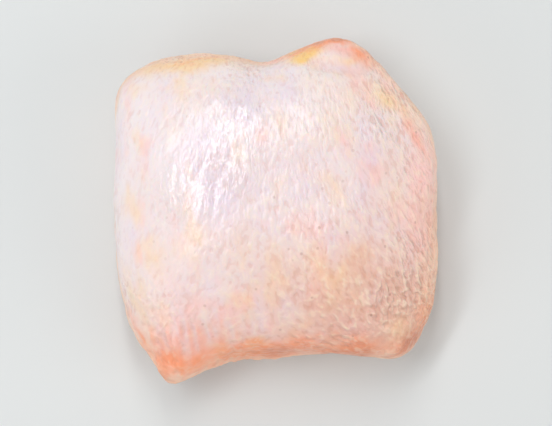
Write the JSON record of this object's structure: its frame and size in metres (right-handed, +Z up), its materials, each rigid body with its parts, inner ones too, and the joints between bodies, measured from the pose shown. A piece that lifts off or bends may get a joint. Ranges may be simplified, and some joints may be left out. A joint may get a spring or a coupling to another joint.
{
  "type": "raw chicken thigh",
  "caption": "Raw skin-on chicken thigh lying skin side up: a plump rounded-square cushion of meat with a folded skin flap and an exposed meaty corner.",
  "frame": {"origin": "centre of the footprint, on the surface that the thigh rests on", "axes": "+Z up out of the skin side, +Y along the thigh towards the folded flap of skin, +X across it towards its cut shoulder"},
  "size_m": [0.083, 0.088, 0.038],
  "materials": {
    "raw_skin": "raw poultry skin: damp, smooth to finely pimpled, pale pink with yellow fat showing through and red meat at its edges"
  },
  "bodies": {
    "root": {"chicken_thigh": "raw_skin"}
  },
  "joints": []
}
